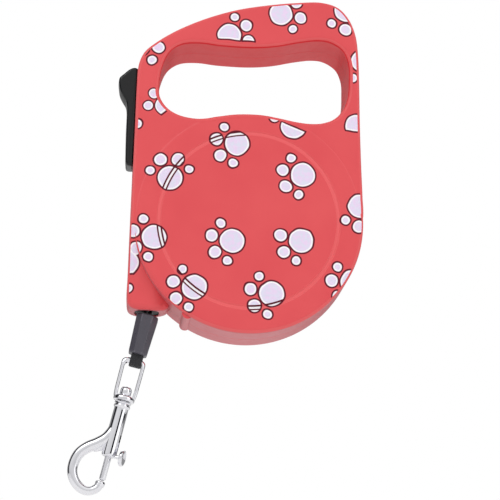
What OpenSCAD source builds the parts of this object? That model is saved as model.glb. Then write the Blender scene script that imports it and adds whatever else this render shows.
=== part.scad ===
// Retractable dog leash: a two-shell housing with a finger opening, a spring-wound tape spool,
// a thumb brake with a ratchet pawl, and a swivel bolt snap on the end of the tape.
// Front face at -Y, tape outlet at the lower left. The origin is the middle of the grip bar.

/* [Housing] */
// Radius of the round spool drum
drum_r = 49; // [47:0.5:56]
// Housing thickness, front face to rear face
body_t = 29; // [28:0.5:34]
// Wall thickness of both shells
wall = 2; // [1.6:0.1:2.6]
// Radius of the decorative ring groove on the front face
ring_r = 38.2; // [30:0.5:42]
// Width of the ring groove
ring_w = 1.8; // [1:0.1:3]
// Depth of the ring groove
ring_depth = 0.5; // [0.3:0.1:0.8]

/* [Grip] */
// How far the left wall stands outside the drum's rim
left_out = 1; // [0.5:0.1:3]
// Width of the left column beside the finger opening
column_w = 9.8; // [9:0.2:14]
// Width of the right column beside the finger opening
right_w = 5.4; // [4.5:0.1:8]
// Height of the finger opening beside the drum
opening_h = 34.5; // [30:0.5:42]
// Thickness of the grip bar in the middle
grip_t = 19; // [17:0.5:24]
// Gap between the drum's rim and the finger opening's hump
hump_drop = 1.5; // [1:0.1:3]

/* [Outlet] */
// Width of the outlet nozzle
nozzle_w = 18; // [17:0.5:22]
// How far the nozzle's lower face stays above the bottom of the drum
nozzle_up = 8.5; // [4:0.5:10]

/* [Tape and spool] */
// Tape width
tape_w = 10; // [8:0.5:11]
// Tape thickness
tape_t = 0.8; // [0.6:0.1:0.9]
// Spool hub radius
hub_r = 14; // [11:0.5:18]
// Space between the ratchet teeth and the drum's inner wall
rim_gap = 7.5; // [7:0.5:10]
// Height of the ratchet teeth
tooth_h = 3; // [2.5:0.1:3.5]
// How far the full tape roll stays inside the spool's flanges
roll_drop = 6; // [4:0.5:8]
// Spool flange thickness
flange_t = 1.3; // [1:0.1:1.6]
// Axle radius
axle_r = 3; // [2.5:0.1:3.5]
// Number of ratchet teeth
teeth = 20; // [16:1:30]
// Thickness of the power spring strip
spring_t = 0.35; // [0.25:0.05:0.5]
// Number of turns of the power spring
spring_turns = 11; // [8:1:13]
// How far the spring cup stays inside the spool's flanges
cup_in = 9; // [6:0.5:12]

/* [Brake] */
// Lower end of the brake button above the axle
button_z = 22.8; // [21:0.2:25]
// Length of the brake button
button_l = 46; // [44:0.5:47]
// Width of the brake button
button_w = 11; // [8:0.5:12]
// How far the button's flat tail stands out of the left wall
button_out = 3.5; // [3:0.1:5]
// How far the thumb pad stands out of the left wall
thumb_out = 7.8; // [6:0.1:9]
// Button travel when pressed
press_travel = 2.5; // [2:0.1:2.6]
// Button travel down to its locked place
lock_travel = 4; // [3:0.5:4]
// Pawl pin radius
pin_r = 1.25; // [1:0.05:1.5]

/* [Leash end] */
// Length of the end sleeve
sleeve_l = 17; // [14:0.5:22]
// Width of the end sleeve at its upper end
sleeve_w = 9.2; // [8.4:0.1:9.2]
// Width of the webbing loop
loop_w = 5.2; // [4:0.2:5.4]
// Thickness of the webbing loop
loop_t = 1; // [0.8:0.1:1.3]

/* [Bolt snap] */
// Radius of the swivel eye's upper bar
bar_r = 1.3; // [1:0.05:1.5]
// Thickness of the swivel eye's side bars
eye_side = 1.6; // [1.2:0.1:2]
// Outer length of the swivel eye
eye_l = 19; // [17:0.5:24]
// Radius of the swivel rivet's neck
neck_r = 1.6; // [1.3:0.05:1.8]
// Radius of the hook's shank
shank_r = 3.1; // [2.9:0.1:3.6]
// Length of the shank below its collar
shank_l = 21; // [20:0.5:26]
// Radius of the spring bolt
bolt_r = 1.35; // [1.1:0.05:1.5]
// Travel of the spring bolt
bolt_travel = 8; // [7:0.5:8.5]
// Radius of the hook loop's centre line
hook_r = 6.6; // [6:0.1:9]
// Radius of the hook's round bar
hook_bar_r = 2.1; // [1.8:0.1:2.4]
// Diameter of the thumb knob
knob_d = 6.7; // [5:0.1:8]

/* [Hidden] */
$fn = 72;
eps = 0.01;      // overlap of joined shapes and of cuts
gap = 0.3;       // clearance between pieces that move past each other
fit = 0.05;      // radial clearance of a shaft in its bore
seat = 0.1;      // clearance of a fixed piece in its pocket
half_t = body_t / 2;
inner_t = half_t - wall;

// Housing outline, in the plane of the faces, from the axle
left_x = drum_r + left_out;
opening_x0 = -left_x + column_w;
right_x = drum_r - 0.5;
opening_x1 = right_x - right_w - 1;
hump_r = drum_r - hump_drop;
opening_z0 = hump_r - 4;
opening_z1 = opening_z0 + opening_h;
grip_h = opening_z1 + grip_t / 2;
top_z = grip_h + grip_t / 2;
nozzle_z = drum_r - nozzle_up;
OUTLINE = [
    [-left_x, -nozzle_z, 3], [-left_x + nozzle_w, -nozzle_z, 2],
    [-left_x + nozzle_w, -nozzle_z + 10, 0], [0, -20, 0], [drum_r, 0, 0],
    [right_x - 4.2, top_z + 6.8, 20], [-left_x + 25, top_z - 5.7, 80], [-left_x, top_z - 25.5, 12]
];
OPENING = [
    [opening_x0, opening_z0, 9], [opening_x1, opening_z0 + 1, 9],
    [opening_x1 + 1.4, opening_z1 + 6.3, 13], [opening_x0 + 50, opening_z1 + 0.8, 40],
    [opening_x0 + 0.6, opening_z1, 9]
];

// Case screws: places, and sizes of shank, head and boss
screw_r = 1.1;
head_r = 2;
head_t = 1.6;
head_y = 6;
boss_r = 2.5;
screw_end = 8;
SCREWS = [
    [-left_x + 25, opening_z1 + grip_t / 2 - 3.7], [right_x - 12.5, top_z - 6.6],
    [right_x - wall - boss_r - 0.7, 24],
    [(drum_r - wall - boss_r) * cos(-60), (drum_r - wall - boss_r) * sin(-60)],
    [-left_x + wall + 3.7, -nozzle_z + 18.5]
];

// Leash line: the tape leaves the roll along a tangent through the outlet
outlet_x = -left_x + nozzle_w / 2 - gap;
teeth_r = drum_r - wall - rim_gap;
flange_r = teeth_r - 2.5;
roll_r = flange_r - roll_drop;
cup_r = flange_r - cup_in;
line_r = roll_r + gap + tape_t / 2;
outlet_d = norm([outlet_x, nozzle_z]);
tilt = 90 - atan2(nozzle_z, -outlet_x) - asin(line_r / outlet_d);
run_l = sqrt(outlet_d * outlet_d - line_r * line_r);

// Spool, from the middle of the tape outwards
side_y = tape_w / 2 + gap;
flange_y = side_y + flange_t;
cup_t = 1.4;
cover_t = 0.8;
spring_w = inner_t - flange_y - cover_t - 4 * gap;
cup_y = flange_y + spring_w + 2 * gap;
teeth_w = inner_t - flange_y - 2.5;
arbor_r = axle_r + 1.6;
washer_t = 0.5;
boss_y = flange_y + washer_t + 2 * gap;
axle_boss_r = axle_r + 2.6;

// Outlet guide
mouth_w = sleeve_w + 0.7;
mouth_y = tape_w / 2 + 1.4;
guide_x = mouth_w / 2 + 1.05;
guide_y = mouth_y + 1.8;
guide_h = 6;
lip_t = 1.5;

// Brake: the channel in the left wall, the carrier behind it and the pawl
channel_y = button_w / 2 + gap;
channel_x = -left_x + press_travel + 1.1;
floor_t = 1.5;
under_x = -left_x + 0.6;
channel_z0 = button_z - lock_travel - gap;
channel_z1 = button_z + button_l + gap;
stem_z = button_z + 11;
stem_h = 7;
stem_y = 2.2;
carrier_t = 1.5;
carrier_x = channel_x + floor_t + gap;
nose_z = button_z - 5.8;
nose_h = 3;
pawl_y0 = -side_y - flange_t - teeth_w + 0.2;
pawl_t = 2.2;
pawl_hub_r = pin_r + 1.6;
lever = 16;
pivot = [channel_x + floor_t + gap + pawl_hub_r, nose_z + lever];
pawl_back = carrier_x + carrier_t + gap;
carrier_y = stem_y + 1;
pawl_spring_l = -carrier_y - gap - pawl_y0 - pawl_t - seat;
tooth_z = nose_z - 7;
tooth_phase = 180 - atan2(tooth_z, teeth_r - 1.6);
spring_post_x = carrier_x + carrier_t + 6.6;
coil_r = 1.9;

// Leash end, along the leash line from the outlet
sleeve_s = 0.6;
sleeve_y = tape_w / 2 + 1;
sleeve_end = sleeve_s + sleeve_l;
bar_s = sleeve_end + bar_r + 1.6;
eye_end = bar_s - bar_r + eye_l;
eye_w = loop_w + 2 * (gap + eye_side);
eye_floor = 2.4;
head_h = 4;
collar_s = eye_end + gap;
collar_r = shank_r + 0.4;
collar_h = 2.6;
shank_end = collar_s + collar_h + shank_l;
bore_s = collar_s + collar_h + 1.6;
hook_top = shank_end - hook_bar_r;
hook_low = shank_end + 8.3;
tip_turn = 25;
bolt_end = hook_low + (hook_r - bolt_r) * tan(tip_turn) - 0.12;
bolt_top = hook_low - 15.8;
knob_s = shank_end - 0.6;
knob_turn = -15;
stem_r = 0.8;

// Points of a polygon whose corners [x, z, r] are rounded, each r by arc steps of 6 degrees
function unit(v) = v / norm(v);
function corner(a, b, c, r) = let(
        u = unit(a - b), v = unit(c - b), half = acos(u * v) / 2,
        o = b + unit(u + v) * r / sin(half), p = b + u * r / tan(half), q = b + v * r / tan(half),
        a0 = atan2(p[1] - o[1], p[0] - o[0]), a1 = atan2(q[1] - o[1], q[0] - o[0]),
        turn = a1 - a0 > 180 ? a1 - a0 - 360 : a1 - a0 < -180 ? a1 - a0 + 360 : a1 - a0,
        n = max(2, ceil(abs(turn) / 6))
    ) [for (i = [0:n]) o + r * [cos(a0 + turn * i / n), sin(a0 + turn * i / n)]];
function flat(p) = [p[0], p[1]];
function rounded(c) = [for (i = [0:len(c) - 1])
    let(a = c[(i + len(c) - 1) % len(c)], b = c[i], d = c[(i + 1) % len(c)])
    each (b[2] > 0 ? corner(flat(a), flat(b), flat(d), b[2]) : [flat(b)])];

// Frames: the axle's, a slab between two depths, a turned piece on the axle and the leash line's
module from_axle() { translate([0, 0, -grip_h]) children(); }
module slab(y0, y1) { translate([0, y1, 0]) rotate([90, 0, 0]) linear_extrude(y1 - y0) children(); }
module turned() { rotate([-90, 0, 0]) rotate_extrude($fn = 120) children(); }
module pin_y(x, z, r, y0, y1) { translate([x, y0, z]) rotate([-90, 0, 0]) cylinder(r = r, h = y1 - y0); }
module on_line() { from_axle() translate([outlet_x, 0, -nozzle_z]) rotate([0, tilt, 0]) children(); }
module ring_2d(r0, r1, y0, y1) { translate([r0, y0]) square([r1 - r0, y1 - y0]); }
// A helix of round wire along +Z
module coil(r, wire, h, turns) {
    steps = 16;
    sides = 6;
    n = turns * steps;
    points = [for (i = [0:n]) for (k = [0:sides - 1]) let(a = 360 * i / steps, b = 360 * k / sides)
        let(out = r + wire * cos(b), up = wire + (h - 2 * wire) * i / n + wire * sin(b))
        [out * cos(a), out * sin(a), up]];
    skin = [for (i = [0:n - 1]) for (k = [0:sides - 1]) let(a = i * sides, j = (k + 1) % sides)
        [a + k, a + sides + k, a + sides + j, a + j]];
    ends = [[for (k = [0:sides - 1]) k], [for (k = [sides - 1:-1:0]) n * sides + k]];
    polyhedron(points = points, faces = concat(skin, ends), convexity = 6);
}

// Housing
module outline_2d() {
    circle(r = drum_r, $fn = 144);
    polygon(rounded(OUTLINE));
}
module opening_2d() {
    difference() {
        polygon(rounded(OPENING));
        circle(r = hump_r, $fn = 144);
    }
}
module cavity_2d() {
    difference() {
        offset(delta = -wall) outline_2d();
        offset(delta = wall) opening_2d();
    }
}
module button_channel(grow = 0) {
    deep = channel_x + left_x + 1 + grow;
    high = channel_z1 - channel_z0 + 2 * grow;
    translate([-left_x - 1, -channel_y - grow, channel_z0 - grow])
        cube([deep, 2 * (channel_y + grow), high]);
}
module stem_slot() {
    translate([channel_x - eps, -stem_y - gap, stem_z - lock_travel - gap])
        cube([floor_t + 2 * eps, 2 * (stem_y + gap), stem_h + lock_travel + 2 * gap]);
}
module guide_pocket() {
    translate([outlet_x - guide_x - seat, -guide_y - seat, -nozzle_z + lip_t])
        cube([2 * (guide_x + seat), 2 * (guide_y + seat), guide_h + seat]);
    translate([outlet_x - mouth_w / 2, -mouth_y, -nozzle_z - 1])
        cube([mouth_w, 2 * mouth_y, lip_t + 1 + eps]);
}
module half_shell(y0, y1, c0, c1, b0, b1) {
    difference() {
        union() {
            difference() {
                slab(y0, y1) difference() { outline_2d(); opening_2d(); }
                slab(c0, c1) cavity_2d();
            }
            intersection() {
                slab(y0, y1) difference() { outline_2d(); opening_2d(); }
                union() {
                    button_channel(floor_t);
                    translate([outlet_x - nozzle_w / 2, y0, -nozzle_z])
                        cube([nozzle_w, y1 - y0, lip_t + 3]);
                }
            }
            for (s = SCREWS) pin_y(s[0], s[1], boss_r, b0, b1);
        }
        button_channel();
        stem_slot();
        guide_pocket();
    }
}
module front_shell() {
    color([0.89, 0.35, 0.37]) from_axle() difference() {
        union() {
            half_shell(-half_t, 0, -inner_t, 1, -inner_t - eps, 0);
            pin_y(0, 0, axle_boss_r, -inner_t - eps, -boss_y);
            pin_y(pivot[0], pivot[1], pin_r + 1.5, -inner_t - eps, pawl_y0 - gap);
        }
        for (s = SCREWS) pin_y(s[0], s[1], screw_r + fit, -screw_end - 1, 1);
        pin_y(0, 0, axle_r + fit, -inner_t, 1);
        pin_y(pivot[0], pivot[1], pin_r + fit, -inner_t, 1);
        turned() ring_2d(ring_r - ring_w / 2, ring_r + ring_w / 2, -half_t - 1, -half_t + ring_depth);
    }
}
module rear_shell() {
    color([0.89, 0.35, 0.37]) from_axle() difference() {
        union() {
            half_shell(0, half_t, -1, inner_t, 0, inner_t + eps);
            translate([spring_post_x, -coil_r - 1, stem_z - 10])
                cube([2, inner_t + coil_r + 1 + eps, 6]);
            translate([spring_post_x + eps, 0, stem_z - 7]) rotate([0, -90, 0])
                cylinder(r = coil_r - 0.7, h = 3);
        }
        for (s = SCREWS) {
            pin_y(s[0], s[1], screw_r + seat, -1, half_t + 1);
            pin_y(s[0], s[1], head_r + gap, head_y, half_t + 1);
        }
        pin_y(0, 0, axle_r + fit, inner_t - 1, inner_t + 1);
    }
}
module case_screws() {
    color("silver") from_axle() for (s = SCREWS) difference() {
        union() {
            pin_y(s[0], s[1], screw_r, -screw_end, head_y + eps);
            pin_y(s[0], s[1], head_r, head_y, head_y + head_t);
        }
        translate([s[0], head_y + head_t, s[1]]) for (a = [0, 90]) rotate([0, a, 0])
            cube([2.6, 1.4, 0.6], center = true);
    }
}
module outlet_guide() {
    color([0.1, 0.1, 0.11]) from_axle() difference() {
        translate([outlet_x - guide_x, -guide_y, -nozzle_z + lip_t + seat])
            cube([2 * guide_x, 2 * guide_y, guide_h - seat]);
        translate([outlet_x, 0, -nozzle_z]) rotate([0, tilt, 0])
            cube([tape_t + 6 * gap, tape_w + 3 * gap, 30], center = true);
    }
}

// Spool group
module axle() {
    color("silver") from_axle() pin_y(0, 0, axle_r, -inner_t + seat, inner_t + 1 - seat);
}
module thrust_washer() {
    color("gainsboro") from_axle() turned()
        ring_2d(axle_r + seat, axle_boss_r - 0.5, -boss_y + seat, -boss_y + seat + washer_t);
}
module spring_arbor() {
    color([0.2, 0.2, 0.22]) from_axle() difference() {
        turned() ring_2d(axle_r + fit, arbor_r, flange_y + gap, inner_t - seat);
        translate([arbor_r - 0.8, flange_y, -0.4]) cube([2, inner_t - flange_y, 0.8]);
    }
}
module spool() {
    color([0.16, 0.16, 0.18]) from_axle() union() {
        turned() union() {
            ring_2d(axle_r + fit, hub_r, -flange_y, flange_y);
            ring_2d(hub_r - 1, flange_r, side_y, flange_y);
            ring_2d(hub_r - 1, teeth_r - tooth_h, -flange_y, -side_y);
            ring_2d(cup_r - cup_t, cup_r, flange_y - eps, cup_y);
            ring_2d(teeth_r - tooth_h - 3, teeth_r - tooth_h, -flange_y - teeth_w, -flange_y + eps);
        }
        slab(-flange_y - teeth_w, -flange_y + flange_t) difference() {
            polygon([for (i = [0:teeth - 1]) for (k = [0:3]) let(
                a = 360 / teeth * (i + [0, 0.42, 0.5, 0.92][k]) + 180 - tooth_phase + 360 / teeth * 0.04,
                r = [teeth_r - tooth_h, teeth_r - tooth_h, teeth_r, teeth_r][k]
            ) r * [cos(a), sin(a)]]);
            circle(r = teeth_r - tooth_h - 1.5, $fn = 120);
        }
    }
}
module tape_roll() {
    color([0.08, 0.08, 0.09]) from_axle() turned() ring_2d(hub_r, roll_r, -tape_w / 2, tape_w / 2);
}
module power_spring() {
    r0 = arbor_r + gap;
    r1 = cup_r - cup_t - 0.2;
    steps = 24;
    n = spring_turns * steps;
    function at(i, d) = let(
        r = r0 + (r1 - r0 - spring_t) * i / n + d,
        a = 360 * i / steps
    ) r * [cos(a), sin(a)];
    color([0.45, 0.5, 0.58]) from_axle() slab(flange_y + gap, flange_y + gap + spring_w)
        polygon(concat([for (i = [0:n]) at(i, 0)], [for (i = [n:-1:0]) at(i, spring_t)]));
}
module spring_cover() {
    color([0.3, 0.3, 0.33]) from_axle() turned() ring_2d(arbor_r + gap, cup_r, cup_y, cup_y + cover_t);
}

// Brake
module brake_button() {
    top = button_z + button_l;
    color([0.1, 0.1, 0.11]) from_axle() {
        slab(-button_w / 2, button_w / 2) polygon([
            [under_x, button_z], [-left_x - button_out + 0.9, button_z],
            [-left_x - button_out, button_z + 1.2],
            [-left_x - button_out - 0.3, top - 16.7], [-left_x - thumb_out + 0.5, top - 9.6],
            [-left_x - thumb_out, top - 5.7], [-left_x - 1.8, top], [under_x, top]
        ]);
        translate([under_x - eps, -stem_y, stem_z])
            cube([carrier_x + carrier_t + 0.5 - under_x, 2 * stem_y, stem_h]);
    }
}
module brake_carrier() {
    color([0.55, 0.56, 0.6]) from_axle() difference() {
        union() {
            translate([carrier_x, -carrier_y, nose_z - nose_h / 2])
                cube([carrier_t, 2 * carrier_y, stem_z + stem_h + 3 - nose_z + nose_h / 2]);
            translate([carrier_x, pawl_y0, nose_z - nose_h / 2]) cube([carrier_t, -pawl_y0, nose_h]);
        }
        translate([carrier_x - 1, -stem_y - seat, stem_z - lock_travel - seat])
            cube([carrier_t + 2, 2 * (stem_y + seat), stem_h + lock_travel + 2 * seat]);
    }
}
module brake_pawl() {
    color([0.75, 0.76, 0.78]) from_axle() difference() {
        union() {
            pin_y(pivot[0], pivot[1], pawl_hub_r, pawl_y0, pawl_y0 + pawl_t);
            slab(pawl_y0, pawl_y0 + pawl_t) polygon([
                [pivot[0] - 1.6, pivot[1]], [pawl_back, pivot[1] - 6], [pawl_back, tooth_z - 1.5],
                [-teeth_r - 1.2, tooth_z - 1.5],
                [-teeth_r - 0.6, tooth_z - 0.8], [-teeth_r - 0.6, tooth_z + 0.8],
                [-teeth_r - 2, tooth_z + 2.6], [pawl_back + 2.6, pivot[1] - 8], [pivot[0] + 2, pivot[1]]
            ]);
        }
        pin_y(pivot[0], pivot[1], pin_r + fit, pawl_y0 - 1, 0);
    }
}
module pawl_pin() {
    color("silver") from_axle() pin_y(pivot[0], pivot[1], pin_r, -inner_t + seat, -carrier_y - gap);
}
module pawl_spring() {
    color([0.45, 0.5, 0.58]) from_axle() translate([pivot[0], pawl_y0 + pawl_t + seat, pivot[1]])
        rotate([-90, 0, 0]) coil(pin_r + 0.6, 0.3, pawl_spring_l, 4);
}
module button_spring() {
    color([0.45, 0.5, 0.58]) from_axle() translate([carrier_x + carrier_t, 0, stem_z - 7])
        rotate([0, 90, 0]) coil(coil_r, 0.3, 6.6 - press_travel - gap, 4);
}

// Leash end
module tape_run() {
    color([0.08, 0.08, 0.09]) on_line() translate([-tape_t / 2, -tape_w / 2, -sleeve_s])
        cube([tape_t, tape_w, run_l + sleeve_s]);
}
module octagon(w, d, cut) {
    polygon([for (i = [0:3]) let(sx = [1, -1, -1, 1][i], sy = [1, 1, -1, -1][i], k = i % 2)
        each [[sx * (w / 2 - (k == 0 ? 0 : cut)), sy * (d / 2 - (k == 0 ? cut : 0))],
              [sx * (w / 2 - (k == 0 ? cut : 0)), sy * (d / 2 - (k == 0 ? 0 : cut))]]]);
}
module end_sleeve() {
    color([0.27, 0.27, 0.29]) on_line() hull() {
        translate([0, 0, -sleeve_s - 0.4]) linear_extrude(0.4) octagon(sleeve_w, 2 * sleeve_y, 2);
        translate([0, 0, -sleeve_end]) linear_extrude(0.4)
            octagon(sleeve_w - 1.6, 2 * sleeve_y - 2, 1.8);
    }
}
module webbing_loop() {
    r0 = bar_r + 0.25;
    color([0.08, 0.08, 0.09]) on_line() translate([0, 0, -bar_s]) {
        rotate([0, 90, 0]) translate([0, 0, -loop_w / 2]) difference() {
            cylinder(r = r0 + loop_t, h = loop_w);
            translate([0, 0, -1]) cylinder(r = r0, h = loop_w + 2);
            translate([-10, -5, -1]) cube([10, 10, loop_w + 2]);
        }
        for (s = [-1, 1]) translate([-loop_w / 2, s * (r0 + loop_t / 2) - loop_t / 2, -eps])
            cube([loop_w, loop_t, bar_s - sleeve_end + eps]);
    }
}
module swivel_eye() {
    x0 = eye_w / 2 - eye_side / 2;
    color([0.8, 0.81, 0.83]) on_line() difference() {
        union() {
            translate([-x0, 0, -bar_s]) rotate([0, 90, 0]) cylinder(r = bar_r, h = 2 * x0);
            for (s = [-1, 1]) translate([s * x0 - eye_side / 2, -bar_r, -eye_end])
                cube([eye_side, 2 * bar_r, eye_end - bar_s + bar_r]);
            translate([0, 0, -eye_end]) cylinder(r = eye_w / 2 - 0.4, h = eye_floor);
        }
        translate([0, 0, -eye_end - 1]) cylinder(r = neck_r + fit, h = eye_floor + 2);
    }
}
module swivel_rivet() {
    top = -eye_end + eye_floor + gap;
    color([0.75, 0.76, 0.78]) on_line() {
        translate([0, 0, -collar_s - eps]) cylinder(r = neck_r, h = top + collar_s + 2 * eps);
        translate([0, 0, top]) cylinder(r = neck_r + 0.8, h = head_h);
    }
}
module arc_bar(a0, a1) {
    rotate([90, 0, 0]) rotate([0, 0, a0]) rotate_extrude(angle = a1 - a0)
        translate([hook_r, 0]) circle(r = hook_bar_r, $fn = 32);
}
module knob_slot() {
    rotate([0, 0, knob_turn]) translate([0, -stem_r - 0.2, -shank_end - 1])
        cube([shank_r + 3, 2 * (stem_r + 0.2), shank_end + 1 - knob_s + bolt_travel + stem_r + gap]);
}
module hook_body() {
    color([0.8, 0.81, 0.83]) on_line() difference() {
        union() {
            translate([0, 0, -collar_s - collar_h]) cylinder(r = collar_r, h = collar_h);
            translate([0, 0, -shank_end]) cylinder(r = shank_r, h = shank_l + eps);
            translate([-hook_r, 0, -hook_top]) rotate([0, 90, 0])
                cylinder(r = hook_bar_r, h = hook_r - bolt_r - 0.3);
            translate([-hook_r, 0, -hook_top - hook_r]) arc_bar(90, 180);
            translate([-2 * hook_r, 0, -hook_low])
                cylinder(r = hook_bar_r, h = hook_low - hook_top - hook_r);
            translate([-hook_r, 0, -hook_low]) arc_bar(180, 360 - tip_turn);
            slab(-1.3, 1.3) polygon([
                [-shank_r + 0.5, -shank_end + 10], [-hook_r, -hook_top + 1],
                [-hook_r, -hook_top - 1], [-2, -hook_top - 1]
            ]);
        }
        translate([0, 0, -shank_end - 1]) cylinder(r = bolt_r + fit, h = shank_end + 1 - bore_s);
        knob_slot();
    }
}
module hook_bolt() {
    color([0.75, 0.76, 0.78]) on_line() translate([0, 0, -bolt_end])
        cylinder(r = bolt_r, h = bolt_end - bolt_top);
}
module bolt_knob() {
    reach = shank_r + 2;
    color([0.8, 0.81, 0.83]) on_line() translate([0, 0, -knob_s]) rotate([0, 90, knob_turn]) {
        translate([0, 0, bolt_r - 0.1]) cylinder(r = stem_r, h = reach - bolt_r + 0.1 + eps);
        translate([0, 0, reach]) cylinder(r = knob_d / 2, h = 1.6);
    }
}
module bolt_spring() {
    color([0.45, 0.5, 0.58]) on_line() translate([0, 0, -bolt_top + bolt_travel + 0.2])
        coil(bolt_r - 0.4, 0.25, bolt_top - bolt_travel - bore_s - 0.4, 4);
}

front_shell();
rear_shell();
case_screws();
outlet_guide();
axle();
thrust_washer();
spring_arbor();
spool();
tape_roll();
power_spring();
spring_cover();
brake_button();
brake_carrier();
brake_pawl();
pawl_pin();
pawl_spring();
button_spring();
tape_run();
end_sleeve();
webbing_loop();
swivel_eye();
swivel_rivet();
hook_body();
hook_bolt();
bolt_knob();
bolt_spring();
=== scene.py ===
"""Retractable tape leash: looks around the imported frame.

Shapes are worked out in millimetres from the spool axle (x to the right, y to the back, z up) and
moved into the row frame, in metres, when each piece is finished.
"""
import math

import bpy
import numpy as np
from mathutils import Matrix, Vector


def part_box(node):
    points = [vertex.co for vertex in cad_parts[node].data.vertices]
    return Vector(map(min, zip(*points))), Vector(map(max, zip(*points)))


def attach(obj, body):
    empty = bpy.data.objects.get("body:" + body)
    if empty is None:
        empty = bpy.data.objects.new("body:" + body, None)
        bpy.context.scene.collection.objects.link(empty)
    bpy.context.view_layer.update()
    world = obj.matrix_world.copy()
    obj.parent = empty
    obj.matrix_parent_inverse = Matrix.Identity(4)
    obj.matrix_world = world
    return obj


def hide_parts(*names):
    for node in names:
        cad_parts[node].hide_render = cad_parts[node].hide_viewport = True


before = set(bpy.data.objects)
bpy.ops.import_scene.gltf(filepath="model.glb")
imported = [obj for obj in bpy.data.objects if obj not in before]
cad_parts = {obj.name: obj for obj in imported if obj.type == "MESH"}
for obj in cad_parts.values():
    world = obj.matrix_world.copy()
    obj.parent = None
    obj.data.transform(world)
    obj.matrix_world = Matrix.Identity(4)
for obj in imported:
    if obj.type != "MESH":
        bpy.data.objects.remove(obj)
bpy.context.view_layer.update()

# ---------------------------------------------------------------- places taken from the frame
MM = 0.001
axle_low, axle_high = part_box("axle")
shell_low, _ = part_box("front_shell")
guide_low, guide_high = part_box("outlet_guide")
AXLE_Z = (axle_low.z + axle_high.z) / 2 / MM
HALF_T = -shell_low.y / MM
DRUM_R = AXLE_Z - shell_low.z / MM
OUTLET_X = (guide_low.x + guide_high.x) / 2 / MM
NOZZLE_Z = -40.5
TILT = math.radians(12.33)
WALL = 2.0


def placed(name, data):
    """A new object at the origin, linked into the scene."""
    made = bpy.data.objects.new(name, data)
    bpy.context.scene.collection.objects.link(made)
    return made


# ---------------------------------------------------------------- camera
CAMERA_TURN, CAMERA_LIFT, CAMERA_ROLL = (math.radians(a) for a in (-4.47, -14.12, 1.73))
CAMERA_FAR = 0.8
LENS, SENSOR_WIDTH, CLIP_END = 133.97, 36, 20
AIM = np.array([1.87, 0.0, AXLE_Z - 9.64]) * MM


def make_camera():
    """Looks along the line from a turn and a lift about the aim point, then rolls about that line."""
    data = bpy.data.cameras.new("camera")
    camera = placed("camera", data)
    ct, st, cl, sl = (f(a) for a in (CAMERA_TURN, CAMERA_LIFT) for f in (math.cos, math.sin))
    back = np.array([st * cl, -ct * cl, sl])
    right = np.cross(-back, [0, 0, 1])
    right /= np.linalg.norm(right)
    up = np.cross(right, -back)
    cr, sr = math.cos(CAMERA_ROLL), math.sin(CAMERA_ROLL)
    axes = np.stack([cr * right + sr * up, -sr * right + cr * up, back], 1)
    matrix = np.eye(4)
    matrix[:3, :3] = axes
    matrix[:3, 3] = AIM + back * CAMERA_FAR
    camera.matrix_world = Matrix(matrix.tolist())
    data.sensor_width = SENSOR_WIDTH
    data.lens = LENS
    data.clip_end = CLIP_END
    bpy.context.scene.camera = camera


make_camera()


# ---------------------------------------------------------------- surfaces
def quads(rows, cols, wrap_rows):
    """Quads of a grid of rings, each joined round, and the last ring to the first where asked."""
    r = np.arange(rows if wrap_rows else rows - 1)
    r, c = np.meshgrid(r, np.arange(cols), indexing="ij")
    r1, c1 = (r + 1) % rows, (c + 1) % cols
    return np.stack([r * cols + c, r * cols + c1, r1 * cols + c1, r1 * cols + c], -1).reshape(-1, 4)


def volume(points, faces):
    """Signed volume: each face as a fan of triangles against the origin."""
    total = 0.0
    for f in faces:
        p = points[list(f)]
        total += np.einsum("ij,ij->", np.broadcast_to(p[0], (len(p) - 2, 3)), np.cross(p[1:-1], p[2:]))
    return total


def closed(grid, wrap_rows=False):
    """A closed solid from a grid of rings [row, point, xyz]; the end rings get flat caps."""
    rows, cols = grid.shape[:2]
    points = grid.reshape(-1, 3)
    faces = [tuple(q) for q in quads(rows, cols, wrap_rows).tolist()]
    if not wrap_rows:
        faces.append(tuple(range(cols))[::-1])
        faces.append(tuple(range((rows - 1) * cols, rows * cols)))
    if volume(points, faces) < 0:
        faces = [f[::-1] for f in faces]
    return points, faces


def as_object(name, solid):
    """An object at the origin holding one solid, still in millimetres from the axle."""
    points, faces = solid
    mesh = bpy.data.meshes.new(name)
    mesh.from_pydata(points.tolist(), [], faces)
    mesh.update()
    return placed(name, mesh)


def evaluated(piece):
    """Takes the piece's modifiers into its mesh."""
    bpy.context.view_layer.update()
    graph = bpy.context.evaluated_depsgraph_get()
    fresh = bpy.data.meshes.new_from_object(piece.evaluated_get(graph))
    piece.modifiers.clear()
    old = piece.data
    piece.data = fresh
    fresh.name = piece.name
    bpy.data.meshes.remove(old)
    return piece


def combine(piece, solids, operation):
    """Adds, takes away or keeps only the solids, one Boolean after another."""
    tools = []
    for solid in solids:
        tool = as_object("tool", solid)
        cut = piece.modifiers.new("cut", "BOOLEAN")
        cut.operation = operation
        cut.solver = "MANIFOLD"
        cut.object = tool
        tools.append(tool)
    evaluated(piece)
    for tool in tools:
        bpy.data.objects.remove(tool)
    return piece


def smoothstep(x):
    """3x^2 - 2x^3 between 0 and 1."""
    x = np.clip(x, 0, 1)
    return x * x * (3 - 2 * x)


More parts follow.
